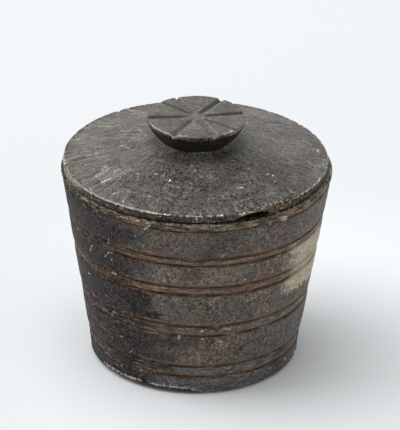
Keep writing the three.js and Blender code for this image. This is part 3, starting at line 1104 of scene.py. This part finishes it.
def soapstone(name, ground, contrast, layers, streak, roughness, ior):
    """Soapstone: drifting ground colours, then dirt and wear, then mottling over them all"""
    material = bpy.data.materials.new(name)
    material.use_nodes = True
    tree = material.node_tree
    shader = tree.nodes["Principled BSDF"]
    place = node(tree, "TexCoord").outputs["Object"]

    patterns = {}
    for noise, (size, detail, rough) in noises.items():
        inputs = {"Vector": place, "Scale": 1 / (size * MM), "Detail": detail, "Roughness": rough}
        patterns[noise] = node(tree, "TexNoise", inputs)
    drift = node(tree, "SeparateColor", {0: patterns["clouds"].outputs["Color"]})
    mottle, specks = (patterns[noise].outputs["Fac"] for noise in ("mottle", "specks"))

    if "spokes_round" in streak:
        stretched = spoke_place(tree, place, streak["spokes_round"], streak["length"])
    else:
        level, upright = 1 / (streak["length"] * MM), 1 / (streak["width"] * MM)
        inputs = {"Vector": place, "Scale": (level, level, upright)}
        stretched = node(tree, "Mapping", inputs).outputs[0]
    inputs = {"Vector": stretched, "Scale": 1, "Detail": 3, "Roughness": 0.7, "Distortion": 0.4}
    streaks = node(tree, "TexNoise", inputs).outputs["Fac"]

    # Noise seldom leaves its middle, so each remap below spreads a narrow part of it
    colour = linear(ground[0])
    for channel, low, high, tint in ((0, 0.43, 0.57, ground[1]), (1, 0.48, 0.6, ground[2])):
        amount = remap(tree, drift.outputs[channel], low, high)
        colour = blended(tree, amount, colour, linear(tint))
    both = blended(tree, 0.5, mottle, specks, VALUES)
    fray = remap(tree, both, 0.35, 0.65, -0.5, 0.5)
    for layer in layers:
        colour = frayed_layer(tree, colour, fray, streaks, *layer)

    # Light and dark grains over everything: contrast is how far apart the two are
    relief = blended(tree, painted(tree, "drawn"), mottle, streaks, VALUES)
    swing = remap(tree, relief, 0.4, 0.6, -0.5, 0.5, clamp=False)
    rough_part = remap(tree, drift.outputs[2], 0.42, 0.58, 0.65, 1.3)
    lively = maths(tree, "SUBTRACT", 1, painted(tree, "calm"))
    speckled = remap(tree, specks, 0.35, 0.65, -0.55, 0.55)
    swing = maths(tree, "MULTIPLY_ADD", swing, rough_part, speckled)
    grains = remap(tree, specks, 0.58, 0.72, to_high=0.65)
    clusters = remap(tree, drift.outputs[2], 0.52, 0.62)
    swing = maths(tree, "MULTIPLY_ADD", grains, clusters, swing)
    swing = maths(tree, "MULTIPLY", swing, lively)
    scale = maths(tree, "POWER", contrast, swing)
    shaded = node(tree, "VectorMath", {0: colour, "Scale": scale}, operation="SCALE").outputs[0]
    tree.links.new(shaded, shader.inputs["Base Color"])

    # Rubbed stone has a waxy shine, and sooty or freshly cut stone has almost none
    polish = remap(tree, mottle, 0.4, 0.6, *roughness)
    tree.links.new(polish, shader.inputs["Roughness"])
    shader.inputs["IOR"].default_value = ior
    shine = remap(tree, painted(tree, "dull"), 0, 1, 0.5, 0.05)
    rubbed = remap(tree, scale, 0.3, 1.6, 0.25, 1.3)
    shine = maths(tree, "MULTIPLY", shine, rubbed)
    tree.links.new(shine, shader.inputs["Specular IOR Level"])

    coarse = node(tree, "Bump", {"Height": relief, "Strength": 1, "Distance": relief_depth * MM})
    inputs = {"Height": specks, "Strength": 1, "Distance": speck_depth * MM}
    fine = node(tree, "Bump", {**inputs, "Normal": coarse.outputs[0]})
    tree.links.new(fine.outputs[0], shader.inputs["Normal"])
    print(name, "has", len(tree.nodes), "nodes")
    return material


# %% Dark smoked soapstone, scraped and blackened
container.data.materials.append(soapstone(
    "dark_smoked_soapstone",
    ground=("#65574a", "#545148", "#594c48"),
    contrast=4.3,
    layers=[
        ("dust", ("#6f6355", "#857868"), 0.9, 0.45, 0.6),
        ("cool", ("#54575b", "#6c7073"), 1, 0.5, 0.6),
        # Soot, and painted shade under the foot and behind the lid's chip
        ("soot_and_shade", ("#0e121a", "#2d241e"), 0.7, 0.45, 0.9),
        ("patch", ("#ad9f84", "#cbc1a7"), 0.9, 0.5, 0.88),
        ("earth", ("#553c2f", "#836857"), 0.45, 0.35, 0.75),
        # Painted shade on the upper side of each groove
        ("cut", ("#33261d", "#54402f"), 0.4, 0.35, 0.6),
        ("lip", ("#5d4838", "#856c55"), 0.4, 0.4, 0.8),
        ("wear", ("#5f5240", "#9c8f75"), 0.7, 0.4, 0.8),
        ("stain", ("#553d29", "#85623f"), 0.8, 0.4, 0.7),
        ("grime", ("#1c1713", "#2f2720"), 0.6, 0.3, 0.85),
        # Fresh stone, and the painted highlight on the foot's worn edge
        ("fresh_and_highlight", ("#a3988a", "#c9c0b2"), 0.25, 0.25, 0.75),
    ],
    streak={"width": 0.8, "length": 7},
    roughness=(0.45, 0.65),
    ior=1.45,
))

# %% Grey scraped soapstone, handled bare
lid.data.materials.append(soapstone(
    "grey_scraped_soapstone",
    ground=("#5d5852", "#6e6a62", "#514944"),
    contrast=6,
    layers=[
        # Soot, and painted shade on the knob's side and flare, in its strokes, round its foot and
        # in the chip's hollow
        ("soot_and_shade", ("#13100e", "#231e1a"), 1, 0.5, 0.88),
        ("rust", ("#33251b", "#6e563d"), 1, 0.5, 0.75),
        ("gouged", ("#7d776f", "#a6a199"), 0.4, 0.35, 0.6),
        # Wear, with the painted highlight on the lid's left edge and the knob's lip
        ("wear", ("#8e8980", "#bfbab0"), 0.35, 0.3, 0.8),
        ("beige", ("#7d7560", "#b0a690"), 0.6, 0.35, 0.75),
        # Fresh stone, and the painted highlight on the lid's left edge and the knob's lip
        ("fresh_and_highlight", ("#a49c8e", "#c6c0b4"), 0.25, 0.25, 0.75),
    ],
    streak={"spokes_round": 200, "length": 11},
    roughness=(0.34, 0.5),
    ior=1.54,
))

# %% [markdown]
# ## Floor and light
#
# The photograph is a studio picture on a white sweep. Three very broad suns stand for the softly
# lit room: a key from the left, one overhead that leans to the left, and a weak fill from the
# front right. Suns light everything equally, so the floor stays even. A pale world is seen by the
# camera and in the stone's soft shine, and adds only a little light.
#
# The paper has little sheen, or glare would wash the picture out at low camera angles. Its white
# is drawn a touch brighter on the left, as painted light, and again close to the box, as a painted
# pool of light where these suns leave it darker than the studio's lamps did.

# %% Floor
floor_reach = 4.0
# Which way the painted light on the paper grows, and where its painted pool lies
brighter_side = (-1, 0.4, 0)
brighter_middle = (0.02, 0.03, 0)
corners = [(-1, -1), (1, -1), (1, 1), (-1, 1)]
corners = [(x * floor_reach, y * floor_reach, 0) for x, y in corners]
floor_mesh = bpy.data.meshes.new("studio_floor")
floor_mesh.from_pydata(corners, [], [(0, 1, 2, 3)])
floor = put_in("studio_floor", floor_mesh)

sweep = bpy.data.materials.new("white_paper_sweep")
sweep.use_nodes = True
tree = sweep.node_tree
paper = tree.nodes["Principled BSDF"]
spot = node(tree, "TexCoord").outputs["Object"]
across = node(tree, "VectorMath", {0: spot, 1: brighter_side}, operation="DOT_PRODUCT")
painted_side_light = remap(tree, across.outputs["Value"], -0.14, 0.28)
tone = blended(tree, painted_side_light, linear("#eff3f6"), linear("#f3f6f9"))
away = node(tree, "VectorMath", {0: spot, 1: brighter_middle}, operation="DISTANCE")
painted_light_pool = remap(tree, away.outputs["Value"], 0.17, 0.1)
tone = blended(tree, painted_light_pool, tone, linear("#fafdff"))
tree.links.new(tone, paper.inputs["Base Color"])
paper.inputs["Roughness"].default_value = 0.9
paper.inputs["Specular IOR Level"].default_value = 0.2
floor_mesh.materials.append(sweep)


# %% Light
def add_sun(name, toward, power, width):
    """A sun that shines from the given direction; width is how many degrees of sky it fills"""
    data = bpy.data.lights.new(name, "SUN")
    data.energy = power
    data.angle = math.radians(width)
    sun = put_in(name, data)
    sun.rotation_mode = "QUATERNION"
    sun.rotation_quaternion = Vector(toward).to_track_quat("Z", "Y")


add_sun("soft_key", (-1, 0.12, 0.7), 1.03, 50)
add_sun("overhead", (-0.3, 0.1, 1), 1.6, 60)
add_sun("fill", (1, -0.5, 0.8), 0.62, 90)

world = bpy.data.worlds.new("pale_studio")
world.use_nodes = True
bpy.context.scene.world = world
tree = world.node_tree
unseen_strength = 0.24
seen_strength = 0.92
rays = node(tree, "LightPath").outputs
seen = maths(tree, "MAXIMUM", rays["Is Camera Ray"], rays["Is Glossy Ray"])
seen = maths(tree, "MAXIMUM", seen, rays["Is Transmission Ray"])
level = remap(tree, seen, 0, 1, unseen_strength, seen_strength)
tree.links.new(level, tree.nodes["Background"].inputs["Strength"])
tree.nodes["Background"].inputs["Color"].default_value = linear("#f4f7f9")

bpy.context.scene.view_settings.view_transform = "Standard"
print("floor is", 2 * floor_reach, "m across")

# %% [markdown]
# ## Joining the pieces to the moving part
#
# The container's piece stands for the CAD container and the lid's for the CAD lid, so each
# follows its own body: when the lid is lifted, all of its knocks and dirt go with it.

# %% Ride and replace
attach(container, "container")
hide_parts("container_body")

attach(lid, "lid")
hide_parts("lid")
